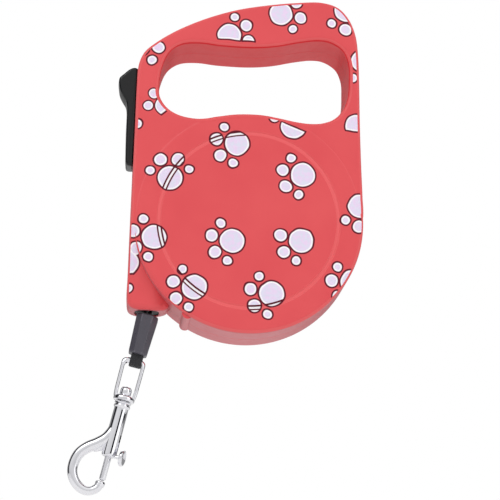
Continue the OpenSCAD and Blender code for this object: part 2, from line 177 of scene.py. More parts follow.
def through(knots, per, loop=True):
    """A centripetal Catmull-Rom curve through the knots, with per points in each span."""
    k = np.asarray(knots, float)
    if not loop:
        k = np.concatenate([[2 * k[0] - k[1]], k, [2 * k[-1] - k[-2]]])
    n = len(k) if loop else len(k) - 3
    i = np.arange(n) + (0 if loop else 1)
    p = [k[(i + d) % len(k)][:, None] for d in (-1, 0, 1, 2)]
    step = [np.linalg.norm(p[j + 1] - p[j], axis=2, keepdims=True) ** 0.5 for j in range(3)]
    at = [0 * step[0], step[0], step[0] + step[1], step[0] + step[1] + step[2]]
    t = at[1] + step[1] * (np.arange(per) / per)[None, :, None]

    def mix(a, b, ta, tb):
        return ((tb - t) * a + (t - ta) * b) / (tb - ta)

    first = [mix(p[j], p[j + 1], at[j], at[j + 1]) for j in range(3)]
    second = [mix(first[j], first[j + 1], at[j], at[j + 2]) for j in range(2)]
    out = mix(second[0], second[1], at[1], at[2]).reshape(-1, k.shape[1])
    return out if loop else np.concatenate([out, k[-2:-1]])


def normals_in_plane(loop):
    """Unit normals to the left of a closed plane curve, from central differences."""
    along = np.roll(loop, -1, 0) - np.roll(loop, 1, 0)
    left = np.stack([-along[:, 1], along[:, 0]], 1)
    return left / np.linalg.norm(left, axis=1, keepdims=True)


def turned(profile, segments=128, axis="y", centre=(0, 0, 0), wrap_rows=False):
    """A profile [radius, place along x or y] turned once round that axis through the centre."""
    profile = np.asarray(profile, float)
    a = np.arange(segments) / segments * 2 * math.pi
    r, h = profile[:, 0][:, None], profile[:, 1][:, None] + 0 * a
    round_a, round_b = r * np.cos(a), r * np.sin(a)
    order = (h, round_a, round_b) if axis == "x" else (round_a, h, round_b)
    return closed(np.stack(order, -1) + np.array(centre, float), wrap_rows)


def block(x0, x1, y0, y1, z0, z1):
    """A plain box, as a ring of four points carried from z0 to z1."""
    ring = np.array([[x0, y0], [x1, y0], [x1, y1], [x0, y1]], float)
    rows = [np.column_stack([ring, np.full(4, z)]) for z in (z0, z1)]
    return closed(np.stack(rows))


def lay(loop, y):
    """A plane loop [x, z] laid at the depth y, which may change round it."""
    return np.column_stack([loop[:, 0], np.broadcast_to(y, len(loop)), loop[:, 1]])


def prism(loop, y0, y1):
    """A plane loop [x, z] carried from y0 to y1."""
    return closed(np.stack([lay(loop, y) for y in (y0, y1)]))


def quarter(radius, steps):
    """A quarter circle as pairs: how far in from the side, and how far down from the face.

    Radius times 1 - cos and 1 - sin of an angle, from straight down the side to flat on the face.
    """
    a = np.linspace(0, math.pi / 2, steps)
    return [(radius * (1 - math.cos(b)), radius * (1 - math.sin(b))) for b in a]


def squared_circle(sides, first, second=None):
    """Cosine and sine round a circle, each raised to its own power with its sign kept.

    A power of 1 gives an ellipse and less gives squarer corners.
    """
    a = np.arange(sides) / sides * 2 * math.pi
    powers = (first, first if second is None else second)
    return [np.sign(v) * np.abs(v) ** p for v, p in zip((np.cos(a), np.sin(a)), powers)]


def from_line(t, y, s):
    """Leash line to axle frame: t is sideways and s the distance from the outlet down the line."""
    t, y, s = np.broadcast_arrays(t, y, s)
    x = OUTLET_X - math.sin(TILT) * s + math.cos(TILT) * t
    z = NOZZLE_Z - math.cos(TILT) * s - math.sin(TILT) * t
    return np.stack([x, y, z], -1)


def swept(path, wide, thick, power=2.0, sides=32, loop=False):
    """A superellipse section carried along a path [t, s] in the leash line's plane.

    wide is its half width across the path in the plane and thick its half thickness in y; each may
    change along the path. A power of 2 gives an ellipse and more gives squarer corners.
    """
    path = np.asarray(path, float)
    along = np.roll(path, -1, 0) - np.roll(path, 1, 0) if loop else np.gradient(path, axis=0)
    along /= np.linalg.norm(along, axis=1, keepdims=True)
    across = np.stack([-along[:, 1], along[:, 0]], 1)
    wide, thick, power = (np.broadcast_to(v, len(path))[:, None] for v in (wide, thick, power))
    c, d = squared_circle(sides, 2 / power)
    t = path[:, :1] + across[:, :1] * wide * c
    s = path[:, 1:] + across[:, 1:] * wide * c
    return from_line(t, thick * d, s)


def finish_piece(piece, body, slot, replaced, sharp=35.0, weighted=False):
    """Moves a piece into the row frame, in metres, gives it its slot's finish and ties it to its body."""
    mesh = piece.data
    co = np.empty(len(mesh.vertices) * 3)
    mesh.vertices.foreach_get("co", co)
    co = co.reshape(-1, 3)
    co[:, 2] += AXLE_Z
    mesh.vertices.foreach_set("co", (co * MM).ravel())
    mesh.polygons.foreach_set("use_smooth", np.ones(len(mesh.polygons), bool))
    mesh.update()
    mesh.set_sharp_from_angle(angle=math.radians(sharp))
    mesh.materials.clear()
    mesh.materials.append(FINISHES[slot])
    if weighted:
        even = piece.modifiers.new("even", "WEIGHTED_NORMAL")
        even.keep_sharp = True
        even.weight = 80
    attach(piece, body)
    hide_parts(*replaced)
    return piece


def face_places(mesh):
    """The middle and the normal of every face, as two arrays."""
    read = []
    for label in ("center", "normal"):
        values = np.empty(len(mesh.polygons) * 3)
        mesh.polygons.foreach_get(label, values)
        read.append(values.reshape(-1, 3))
    return read


def mark(mesh, label, values):
    """Writes a face attribute that the finishes read."""
    mesh.attributes.new(label, "FLOAT", "FACE").data.foreach_set("value", values.astype(np.float32))


def strap_map(mesh, sides, across, along):
    """A strap's own map in millimetres: across by the point in its ring, along by the ring."""
    points = np.empty(len(mesh.loops), np.int32)
    mesh.loops.foreach_get("vertex_index", points)
    ring, point = points // sides, points % sides
    uv = np.stack([across(ring, point), along(ring, point)], 1)
    mesh.uv_layers.new(name="strap").data.foreach_set("uv", uv.astype(np.float32).ravel())


# ---------------------------------------------------------------- shader tools
def linear(red, green, blue):
    """A display colour of 0 to 255 as the linear colour that sockets take."""
    c = np.array([red, green, blue], float) / 255
    c = np.where(c <= 0.04045, c / 12.92, ((c + 0.055) / 1.055) ** 2.4)
    return (*c.tolist(), 1.0)


def add(tree, kind, inputs=None, **settings):
    """A node with its settings, each input linked to a socket or given a constant."""
    node = tree.nodes.new(kind)
    for key, value in settings.items():
        setattr(node, key, value)
    for key, value in (inputs or {}).items():
        if isinstance(value, bpy.types.NodeSocket):
            tree.links.new(value, node.inputs[key])
        else:
            node.inputs[key].default_value = value
    return node


def tree_of(values):
    """The node tree of the first socket among the values."""
    return next(v.id_data for v in values if isinstance(v, bpy.types.NodeSocket))


def calc(operation, *values, clamp=False):
    """One Math node; returns its output."""
    inputs = dict(enumerate(values))
    return add(tree_of(values), "ShaderNodeMath", inputs, operation=operation, use_clamp=clamp).outputs[0]


def plus(first, second, clamp=False):
    """The sum of two values."""
    return calc("ADD", first, second, clamp=clamp)


def minus(first, second):
    """The first value less the second."""
    return calc("SUBTRACT", first, second)


def times(first, second, clamp=False):
    """The product of two values."""
    return calc("MULTIPLY", first, second, clamp=clamp)


def vector(operation, *values, output=0):
    """One Vector Math node; returns the output asked for."""
    inputs = dict(enumerate(values))
    return add(tree_of(values), "ShaderNodeVectorMath", inputs, operation=operation).outputs[output]


def marked(tree, label):
    """A face attribute's value."""
    return add(tree, "ShaderNodeAttribute", attribute_name=label).outputs["Fac"]


def band(value, low, high):
    """Goes smoothly from 0 at low to 1 at high."""
    inputs = {"Value": value, "From Min": low, "From Max": high}
    made = add(value.id_data, "ShaderNodeMapRange", inputs, interpolation_type="SMOOTHSTEP")
    return made.outputs["Result"]


def blend_colours(share, first, second):
    """Mixes two colours, or sockets, by a share."""
    inputs = {0: share, 6: first, 7: second}
    return add(share.id_data, "ShaderNodeMix", inputs, data_type="RGBA").outputs[2]


def noise(place, scale, detail=2.0, stretch=None):
    """Noise on a place in millimetres; stretch scales its three axes first."""
    tree = place.id_data
    if stretch is not None:
        place = add(tree, "ShaderNodeMapping", {"Vector": place, "Scale": stretch}).outputs[0]
    return add(tree, "ShaderNodeTexNoise", {"Vector": place, "Scale": scale, "Detail": detail}).outputs["Fac"]


def group(name, inputs, outputs):
    """An empty node group; inputs and outputs are {name: socket kind}."""
    tree = bpy.data.node_groups.new(name, "ShaderNodeTree")
    for label, kind in inputs.items():
        tree.interface.new_socket(name=label, in_out="INPUT", socket_type="NodeSocket" + kind)
    for label, kind in outputs.items():
        tree.interface.new_socket(name=label, in_out="OUTPUT", socket_type="NodeSocket" + kind)
    return tree, tree.nodes.new("NodeGroupInput").outputs, tree.nodes.new("NodeGroupOutput").inputs


def use(tree, made, inputs):
    """A group placed in a tree with its own values."""
    return add(tree, "ShaderNodeGroup", inputs, node_tree=made).outputs


PAD_R = 5.5
TOE_FAR = 9.0
TOES = ((24.2, 2.9), (66.6, 2.2))


def paw_group():
    """Signed distance to one paw: a round pad and four toes, mirrored about the paw's direction.

    Each Drop pushes the outer toe on one side that far away, so that it isn't drawn, and the paw ends
    at the distance Break At from its middle in the direction Break.
    """
    tree, given, wanted = group(
        "paw_distance", {
            "Vector": "Vector", "Centre": "Vector", "Turn": "Vector", "Size": "Vector",
            "Drop Near": "Float", "Drop Far": "Float", "Break": "Vector", "Break At": "Float"},
        {"Distance": "Float"})
    local = add(tree, "ShaderNodeMapping", {
        "Vector": given["Vector"], "Location": given["Centre"], "Rotation": given["Turn"],
        "Scale": given["Size"]}, vector_type="TEXTURE")
    part = add(tree, "ShaderNodeSeparateXYZ", {0: local.outputs[0]})
    folded = add(tree, "ShaderNodeCombineXYZ", {
        "X": part.outputs["X"], "Y": calc("ABSOLUTE", part.outputs["Z"])}).outputs[0]
    best = None
    for angle, radius in ((None, PAD_R), *TOES):
        reach = 0.0 if angle is None else TOE_FAR
        a = math.radians(angle or 0.0)
        centre = (reach * math.cos(a), reach * math.sin(a), 0.0)
        gap = minus(vector("DISTANCE", folded, centre, output="Value"), radius)
        if (angle, radius) == TOES[-1]:
            near = calc("LESS_THAN", part.outputs["Z"], 0.0)
            gap = plus(gap, times(near, given["Drop Near"]))
            far = calc("GREATER_THAN", part.outputs["Z"], 0.0)
            gap = plus(gap, times(far, given["Drop Far"]))
        best = gap if best is None else calc("MINIMUM", best, gap)
    away = vector("SUBTRACT", given["Vector"], given["Centre"])
    past = vector("DOT_PRODUCT", away, given["Break"], output="Value")
    best = calc("MAXIMUM", best, minus(past, given["Break At"]))
    tree.links.new(best, wanted["Distance"])
    return tree


def grain_group():
    """Moulded grain: a height, a roughness shift and a faint tint, from three sizes of noise."""
    tree, given, wanted = group(
        "moulded_grain", {"Vector": "Vector", "Fine": "Float", "Amount": "Float"},
        {"Height": "Float", "Roughness": "Float", "Tint": "Float"})
    fine = noise(given["Vector"], given["Fine"], 3.0)
    middle = noise(given["Vector"], 0.35, 3.0)
    broad = noise(given["Vector"], 0.045, 2.0)
    height = plus(times(fine, 0.6), times(middle, 0.4))
    tree.links.new(times(height, given["Amount"]), wanted["Height"])
    shift = minus(plus(middle, broad), 1.0)
    tree.links.new(times(shift, given["Amount"]), wanted["Roughness"])
    speckle = times(minus(fine, 0.5), 0.35)
    tint = plus(minus(broad, 0.5), speckle)
    tree.links.new(times(tint, given["Amount"]), wanted["Tint"])
    return tree


def weave_group():
    """Plain weave on a strap's own map: warp and weft ribs change places in a chequer."""
    tree, given, wanted = group(
        "strap_weave", {"Vector": "Vector", "Pitch": "Float"}, {"Height": "Float", "Shade": "Float"})
    part = add(tree, "ShaderNodeSeparateXYZ", {0: given["Vector"]})
    across = calc("DIVIDE", part.outputs["X"], given["Pitch"])
    along = calc("DIVIDE", part.outputs["Y"], given["Pitch"])
    cells = plus(calc("FLOOR", across), calc("FLOOR", along))
    odd = calc("PINGPONG", cells, 1.0)
    ribs = [
        calc("SINE", times(calc("FRACT", v), math.pi))
        for v in (across, along)]
    warp = times(ribs[0], minus(1.0, odd))
    weft = times(ribs[1], odd)
    height = plus(warp, weft)
    tree.links.new(height, wanted["Height"])
    fibre = noise(given["Vector"], 6.0, 2.0, stretch=(1.0, 0.15, 1.0))
    tree.links.new(times(plus(height, fibre), 0.5), wanted["Shade"])
    return tree


def brushed_group():
    """Drawn or turned metal: long thin streaks as a height and a roughness shift."""
    tree, given, wanted = group(
        "drawn_metal", {"Vector": "Vector", "Stretch": "Vector"}, {"Height": "Float", "Roughness": "Float"})
    line = add(tree, "ShaderNodeMapping", {"Vector": given["Vector"], "Scale": given["Stretch"]}).outputs[0]
    streak = noise(line, 3.0, 4.0)
    cloud = noise(given["Vector"], 0.25, 2.0)
    tree.links.new(streak, wanted["Height"])
    rough = plus(times(streak, 0.6), times(cloud, 0.4))
    tree.links.new(rough, wanted["Roughness"])
    return tree


PAW_DISTANCE = paw_group()
GRAIN = grain_group()
WEAVE = weave_group()
DRAWN = brushed_group()
WEAVE_PITCH, WEAVE_RELIEF, SHELL_RELIEF = 0.55, 0.12, 0.02


def new_finish(name, **shader):
    """A material with a Principled shader, its constants set on the shader's own sockets."""
    material = bpy.data.materials.new(name)
    material.use_nodes = True
    tree = material.node_tree
    tree.nodes.clear()
    surface = add(tree, "ShaderNodeBsdfPrincipled")
    for key, value in shader.items():
        surface.inputs[key.replace("_", " ")].default_value = value
    output = tree.nodes.new("ShaderNodeOutputMaterial")
    tree.links.new(surface.outputs[0], output.inputs["Surface"])
    return material, tree, surface.inputs


def in_millimetres(tree):
    """Object coordinates in millimetres from the spool axle."""
    place = add(tree, "ShaderNodeTexCoord").outputs["Object"]
    return add(tree, "ShaderNodeMapping", {
        "Vector": place, "Location": (0, 0, -AXLE_Z), "Scale": (1 / MM,) * 3}).outputs[0]


def bump(height, relief):
    """A Bump node; relief is its height in millimetres."""
    return add(height.id_data, "ShaderNodeBump", {"Height": height, "Distance": relief * MM}).outputs[0]


def moulded(name, dark, light, roughness, fine=4.0, relief=0.02, **shader):
    """Moulded plastic: two shades by broad and fine grain, with a paler edge where marked, which is a painted
    highlight.
    """
    material, tree, surface = new_finish(name, **shader)
    grain = use(tree, GRAIN, {"Vector": in_millimetres(tree), "Fine": fine, "Amount": 1.0})
    share = plus(grain["Tint"], 0.5, clamp=True)
    colour = blend_colours(share, dark, light)
    # Painted highlight: the marked edge is mixed towards a paler colour.
    edge_highlight = marked(tree, "edge")
    edge_highlight = times(edge_highlight, plus(grain["Tint"], 0.6), clamp=True)
    pale = tuple(min(1.0, c * 1.7 + 0.02) for c in light[:3]) + (1.0,)
    colour = blend_colours(times(edge_highlight, 0.5), colour, pale)
    tree.links.new(colour, surface["Base Color"])
    rough = plus(times(grain["Roughness"], 0.25), roughness, clamp=True)
    tree.links.new(rough, surface["Roughness"])
    tree.links.new(bump(grain["Height"], relief), surface["Normal"])
    return material


def metal(name, colour, roughness, spread, stretch, relief):
    """Bare metal: streaks or clouds in its roughness and a faint relief."""
    material, tree, surface = new_finish(name, Metallic=1.0)
    place = in_millimetres(tree)
    drawn = use(tree, DRAWN, {"Vector": place, "Stretch": stretch})
    shade = tuple(c * 0.88 for c in colour[:3]) + (1.0,)
    bare = blend_colours(drawn["Roughness"], colour, shade)
    # Painted shade: near black where the hook's seam slot is marked.
    bare = blend_colours(marked(tree, "recess"), bare, (0.012, 0.012, 0.014, 1))
    tree.links.new(bare, surface["Base Color"])
    rough = plus(times(drawn["Roughness"], spread), roughness)
    tree.links.new(rough, surface["Roughness"])
    tree.links.new(bump(drawn["Height"], relief), surface["Normal"])
    return material


def woven(name, dark, light):
    """Black webbing on the strap's own map, whose units are millimetres."""
    material, tree, surface = new_finish(name, Sheen_Weight=0.25, Sheen_Roughness=0.5)
    own = add(tree, "ShaderNodeUVMap", uv_map="strap").outputs[0]
    weave = use(tree, WEAVE, {"Vector": own, "Pitch": WEAVE_PITCH})
    tree.links.new(blend_colours(weave["Shade"], dark, light), surface["Base Color"])
    rough = minus(0.9, times(weave["Height"], 0.2))
    tree.links.new(rough, surface["Roughness"])
    tree.links.new(bump(weave["Height"], WEAVE_RELIEF), surface["Normal"])
    return material


# Paws on the shell: place of the pad's middle [x, z] in millimetres from the axle, the direction that
# the toes point, in degrees from +x towards +z, and the size.
PAWS = (
    (-34.2, 16.5, 95, 1.0), (-6.2, 33.4, 195, 1.0), (22.5, 20.9, 193, 1.0), (-6.8, -9.6, 192, 1.0),
    (22.3, -8.1, 192, 1.0), (-22.3, -30.4, 191, 1.0), (10.4, -31.7, 194, 1.0), (-39.9, -9.7, 189, 1.0),
    (17.7, 42.2, 90, 1.0), (44.7, -24.9, 204, 1.0), (47.3, 8.3, 292, 1.0), (-11.0, 82.5, 9, 0.96),
    (11.2, 93.6, 15, 0.96), (40.0, 97.0, 292, 1.0), (-50.5, 75.3, 22, 1.0), (-37.4, 48.7, 160, 0.82),
    (45.2, 44.3, 270, 0.95), (-57.8, 41.5, 284, 1.0), (47.6, 73.9, 308, 1.0), (-51.2, -20.6, 270, 1.05),
    (-58.0, -34.5, 90, 1.0),
)
# Toes that a paw is short of: the outer one clockwise and the outer one the other way.
MISSING = {4: (30.0, 0.0), 8: (30.0, 0.0), 15: (0.0, 30.0), 16: (30.0, 30.0), 19: (30.0, 30.0)}
# Where a print breaks off: the direction in degrees and the distance from the pad's middle.
BREAKS = {8: (68, 0.3), 11: (268, 2.1), 15: (-48, 2.0), 16: (265, 2.7), 19: (270, 4.6)}
CORAL, CORAL_DEEP = linear(232, 92, 95), linear(222, 78, 84)
MAROON, RIM = linear(96, 8, 32), linear(255, 252, 255)
LILAC, BLUISH = linear(238, 216, 244), linear(226, 224, 242)
RING_IN, RING_OUT = 37.4, 39.0
RING_R = (RING_IN + RING_OUT) / 2
# How far, in millimetres, the print's outlines wander, and a distance past the print's reach.
UNEVEN, BEYOND = 1.1, 50.0


def printed_shell():
    """Coral gloss plastic with the paw print on its faces, and dark maroon lines across the front's pads at
    the ring groove's two edges.
    """
    material, tree, surface = new_finish("coral_shell", IOR=1.46, Coat_Roughness=0.15, Specular_IOR_Level=0.2)
    place = in_millimetres(tree)
    part = add(tree, "ShaderNodeSeparateXYZ", {0: place})
    flat = add(tree, "ShaderNodeCombineXYZ", {"X": part.outputs["X"], "Z": part.outputs["Z"]}).outputs[0]
    wobble = add(tree, "ShaderNodeTexNoise", {"Vector": flat, "Scale": 0.16, "Detail": 1.0}).outputs["Color"]
    wobble = vector("SUBTRACT", wobble, (0.5, 0.5, 0.5))
    wobble = vector("MULTIPLY", wobble, (UNEVEN, 0.0, UNEVEN))
    drawn = vector("ADD", flat, wobble)
    on_rear = times(calc("GREATER_THAN", part.outputs["Y"], 0.0), BEYOND)
    gap = None
    for i, (x, z, turn, size) in enumerate(PAWS):
        near, far = MISSING.get(i, (0.0, 0.0))
        way, at = BREAKS.get(i, (0, BEYOND))
        way = math.radians(way)
        at = plus(on_rear, at) if i in BREAKS else at
        one = use(tree, PAW_DISTANCE, {
            "Vector": drawn, "Centre": (x, 0.0, z), "Turn": (0.0, -math.radians(turn), 0.0),
            "Size": (size,) * 3, "Drop Near": near, "Drop Far": far, "Break At": at,
            "Break": (math.cos(way), 0.0, math.sin(way))})["Distance"]
        gap = one if gap is None else calc("MINIMUM", gap, one)
    grain = use(tree, GRAIN, {"Vector": place, "Fine": 5.0, "Amount": 1.0})
    plain = blend_colours(plus(grain["Tint"], 0.5, clamp=True), CORAL_DEEP, CORAL)
    mottle = band(noise(flat, 0.5, 3.0), 0.35, 0.65)
    middle = blend_colours(mottle, BLUISH, LILAC)
    inside = blend_colours(band(gap, -1.25, -0.75), middle, RIM)
    radius = vector("LENGTH", flat, output="Value")
    off_ring = None
    for ring in (RING_IN, RING_OUT):
        miss = calc("ABSOLUTE", minus(radius, ring))
        off_ring = miss if off_ring is None else calc("MINIMUM", off_ring, miss)
    between = calc("ABSOLUTE", minus(radius, RING_R))
    between = plus(between, on_rear)
    off_ring = plus(off_ring, on_rear)
    inside = blend_colours(band(between, 1.3, 0.9), inside, RIM)
    inside = blend_colours(band(off_ring, 0.46, 0.26), inside, MAROON)
    colour = blend_colours(band(gap, -0.2, -0.5), MAROON, inside)
    # Painted highlight: the plain coral turns lighter over the ring groove.
    groove = times(band(between, 1.2, 0.7), 0.45)
    plain = blend_colours(groove, plain, linear(250, 122, 124))
    shown = times(band(gap, 0.52, 0.26), marked(tree, "print_face"))
    # Painted light on the plain coral: a painted highlight on rounded edges, painted shade on the finger
    # opening's wall, and painted shade with painted reflection on faces that look down.
    for label, share, tone in (
            ("edge", 0.2, (246, 130, 128)), ("opening_wall_shade", 0.9, (214, 40, 48)),
            ("underside", 0.5, (172, 112, 120))):
        share = times(marked(tree, label), share)
        plain = blend_colours(share, plain, linear(*tone))
    tree.links.new(blend_colours(shown, plain, colour), surface["Base Color"])
    rough = plus(times(grain["Roughness"], 0.16), 0.34)
    tree.links.new(minus(rough, times(shown, 0.04)), surface["Roughness"])
    tree.links.new(plus(times(shown, 0.05), 0.06), surface["Coat Weight"])
    printed = times(shown, 0.5)
    relief = plus(times(grain["Height"], 0.5), printed)
    tree.links.new(bump(relief, SHELL_RELIEF), surface["Normal"])
    return material


FINISHES = {
    "coral_shell": printed_shell(),
    "black_plastic": moulded("black_plastic", linear(20, 20, 22), linear(34, 34, 37), 0.5),
    "button_plastic": moulded(
        "button_plastic", linear(4, 5, 7), linear(12, 13, 16), 0.2, relief=0.008, Specular_IOR_Level=0.45),
    "grey_plastic": moulded("grey_plastic", linear(78, 80, 84), linear(112, 114, 118), 0.45),
    "white_plastic": moulded("white_plastic", linear(205, 205, 198), linear(230, 230, 224), 0.4),
    "sleeve_plastic": moulded(
        "sleeve_plastic", linear(64, 62, 70), linear(88, 85, 95), 0.34, fine=7.0, relief=0.03),
    "steel": metal("steel", linear(205, 206, 210), 0.2, 0.2, (0.3, 4.0, 4.0), 0.004),
    "spring_steel": metal("spring_steel", linear(150, 158, 175), 0.26, 0.2, (4.0, 0.4, 4.0), 0.004),
    "chrome": metal("chrome", linear(244, 244, 248), 0.035, 0.05, (0.08, 0.08, 0.08), 0.004),
    "webbing": woven("webbing", linear(14, 14, 16), linear(44, 44, 48)),
}
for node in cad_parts.values():
    for cell in node.material_slots:
        cell.material = FINISHES[cell.material.name.split(".")[0]]


# ---------------------------------------------------------------- housing
DISC_PROUD = 0.35
TAPER_TOP, TAPER_LOW = -2.0, -36.0
TAPER_DEEP, TAPER_SIDE = 5.0, 4.0
SPLIT = 0.14
ROUNDING = 2.0
GROOVE_DEEP = 0.45
# How far the drum's face falls from its middle to the start of its rounded rim.
FALL = 0.12
# The housing's outline beside the finger opening and, in the same row, the point of the opening's
# outline that its face runs to. Both go down the left wall first; the drum hides the inner stretch.
SPANS = np.array([
    (-50, 58, -40.4, 58), (-50, 44, -40.1, 53.6), (-50, 28, -38.3, 50.2), (-50, 10, -36.0, 47.8),
    (-50, -8, -33.6, 46.3), (-50, -22, -30.5, 45.1), (-50, -33.4, -27.5, 44.5), (-49.1, -38.1, -26, 44.3),
    (-46.4, -39.5, -24.5, 44.2), (-41, -39.7, -22.5, 44.2), (-36, -39.6, -20, 44.5),
    (-33.4, -38.9, -18, 44.9), (-32.2, -37.4, -16, 45.4), (-30.5, -32, -13, 46), (-25, -26, -8, 46.9),
    (-10, -22, -2, 47.4), (10, -18, 5, 47.3), (28, -13, 12, 46.3), (45, -9, 19, 45.1),
    (48.8, 3, 25, 44.6), (48.5, 13, 30.5, 45.1), (47.7, 27, 35.5, 47.2), (46.8, 47, 39.3, 51.5),
    (46.3, 63, 41.4, 58), (45.6, 77, 41.7, 66), (44.3, 86, 41.2, 73), (41.3, 93.2, 38.6, 78.6),
    (36.3, 98.4, 33, 82), (29, 100.4, 28, 82.5), (18, 99.6, 20, 81.2), (6, 97.8, 10, 78.8),
    (-8, 94.7, 0, 77.6), (-22, 89.6, -14, 77.6), (-34, 83.5, -24, 78.3), (-42, 78, -31.5, 77.2),
    (-47.3, 73, -36.5, 73.4), (-49.6, 67.2, -39.4, 66.4),
])
OUTLINE = through(SPANS[:, :2], 7)
OPENING = through(SPANS[:, 2:], 7)
INTO_SHELL = normals_in_plane(OUTLINE)
OFF_OPENING = -normals_in_plane(OPENING)


def taper(x, z):
    """How far a face of the outlet column is set back: a smooth slope down it, deeper to its right."""
    down = smoothstep((TAPER_TOP - z) / (TAPER_TOP - TAPER_LOW))
    right = np.clip((x + 40.0) / 8.0, 0, 1) ** 2
    left = np.clip((-46.0 - x) / 4.0, 0, 1) ** 2
    return down * (TAPER_DEEP + TAPER_SIDE * right + 0.8 * left)


def face_rows(outer, inner, half, rows):
    """Straight lines from one loop to the other, each row at the depth of the tapered face."""
    w = np.linspace(0, 1, rows)[:, None, None]
    flat = outer * (1 - w) + inner * w
    depth = half - taper(flat[..., 0], flat[..., 1])
    return np.stack([flat[..., 0], -depth, flat[..., 1]], -1)


def frame_solid(side):
    """The housing round the opening, from the split to one face.

    Each ring of the grid is the outline or the opening moved inwards by a quarter circle at the face,
    so both edges are rounded; the face between them is made of straight lines at the tapered depth.
    """
    half = HALF_T - DISC_PROUD
    edge = (1.5 + 1.2 * smoothstep((-8.0 - OUTLINE[:, 1]) / 26))[:, None]
    face_out = OUTLINE + INTO_SHELL * edge
    face_in = OPENING + OFF_OPENING * ROUNDING
    top_out = half - taper(*face_out.T)
    top_in = half - taper(*face_in.T)

    def ring(loop, depth):
        return lay(loop, -depth)

    rings = [ring(OUTLINE + INTO_SHELL * SPLIT, 0 * top_out), ring(OUTLINE, 0 * top_out + SPLIT)]
    rings += [ring(OUTLINE, (top_out - edge[:, 0]) * f + SPLIT * (1 - f)) for f in (0.35, 0.7)]
    rings += [ring(OUTLINE + INTO_SHELL * edge * inset, top_out - edge[:, 0] * drop)
              for inset, drop in quarter(1.0, 9)[:-1]]
    rings += list(face_rows(face_out, face_in, half, 26))
    rings += [ring(OPENING + OFF_OPENING * inset, top_in - drop)
              for inset, drop in quarter(ROUNDING, 9)[-2::-1]]
    rings += [ring(OPENING, (top_in - ROUNDING) * f + SPLIT * (1 - f)) for f in (0.5, 0.0)]
    rings += [ring(OPENING + OFF_OPENING * SPLIT, 0 * top_in)]
    grid = np.stack(rings)
    grid[..., 1] *= -side
    return closed(grid, wrap_rows=True)


def drum_solid(side, groove):
    """The round drum: a disc with rounded rim, its face falling a little outside the ring groove."""
    face = [[0.02, HALF_T]]
    if groove:
        face += [[r, HALF_T - drop] for r, drop in (
            (37.2, 0.0), (37.33, 0.03), (37.45, GROOVE_DEEP - 0.05), (37.6, GROOVE_DEEP),
            (38.8, GROOVE_DEEP), (38.95, GROOVE_DEEP - 0.05), (39.07, 0.05), (39.2, 0.02))]
    face += [[r, HALF_T - FALL * ((r - RING_OUT) / 8.4) ** 2] for r in (42.0, 45.0)]
    rim = [[DRUM_R - inset, HALF_T - FALL - drop] for drop, inset in quarter(ROUNDING, 9)]
    back = [[DRUM_R, 5.0], [DRUM_R, SPLIT], [DRUM_R - SPLIT, 0.0], [0.02, 0.0]]
    profile = np.array(face + rim + back)
    profile[:, 1] *= side
    return turned(profile, 180)


def opening_plug(side):
    """The finger opening as a solid, a touch larger, with its rounded edge flaring out to the face."""
    half, room = HALF_T - DISC_PROUD, 0.04
    rows = [(room + ROUNDING + 0.4, half + 2.0), (room + ROUNDING + 0.2, half)]
    rows += [(room + inset, half - drop) for inset, drop in quarter(ROUNDING, 9)[::-1]]
    rows += [(room, -1.0)]
    return closed(np.stack([lay(OPENING + OFF_OPENING * out, side * depth) for out, depth in rows]))


def cavity_solids(side):
    """The room inside: the housing round the opening and the drum, both smaller by the wall."""
    inner = HALF_T - WALL
    outer = OUTLINE + INTO_SHELL * WALL
    outer[:, 1] = np.where((outer[:, 0] < -25) & (outer[:, 1] < -36), -36.0, outer[:, 1])
    top = face_rows(outer, OPENING + OFF_OPENING * WALL, inner, 12)
    low = top[::-1].copy()
    low[..., 1] = 1.0
    grid = np.concatenate([top, low])
    grid[..., 1] *= -side
    ring = np.linspace(math.radians(-220), math.radians(40), 90)
    drum = (DRUM_R - WALL) * np.stack([np.cos(ring), np.sin(ring)], 1)
    return [closed(grid, wrap_rows=True), prism(drum, *sorted((-1.0 * side, inner * side)))]


SCREWS = ((-25.0, 83.8), (36.0, 90.4), (43.3, 24.0), (22.25, -38.54), (-44.3, -22.0))
CHANNEL = (-52.0, -46.4, 5.8, 18.5, 69.1)
FLOOR_T = 1.5
STEM = (2.5, 29.5, 41.1)
PIVOT = (-41.75, 33.0)
AXLE_R = 3.05
# Radii inside the housing: bosses for screws, axle and pawl pin, then the screws' holes and the pin's.
BOSS_R, AXLE_BOSS_R, PIVOT_BOSS_R = 2.5, 5.6, 2.75
THREAD_R, SHANK_R, PIN_HOLE_R = 1.15, 1.2, 1.3
# The small nub on the drum's rim beside the column: its two ends in degrees, how proud, half its depth.
NUB_FROM, NUB_TO, NUB_PROUD, NUB_HALF = 236.6, 242.2, 1.9, 12.6


def pin(x, z, radius, y0, y1, segments=48):
    """A round bar along y from y0 to y1 at a place in the plane."""
    low, high = sorted((y0, y1))
    return turned([[0.01, low], [radius, low], [radius, high], [0.01, high]], segments, "y", (x, 0, z))


def guide_rings(half_x, half_y, heights, sizes, power=5.0, sides=48):
    """Superellipses round the outlet at several heights, each scaled by its own size."""
    c, d = squared_circle(sides, 2 / power)
    return np.stack([
        np.column_stack([OUTLET_X + half_x * k * c, half_y * k * d, np.full(sides, h)])
        for h, k in zip(heights, sizes)])


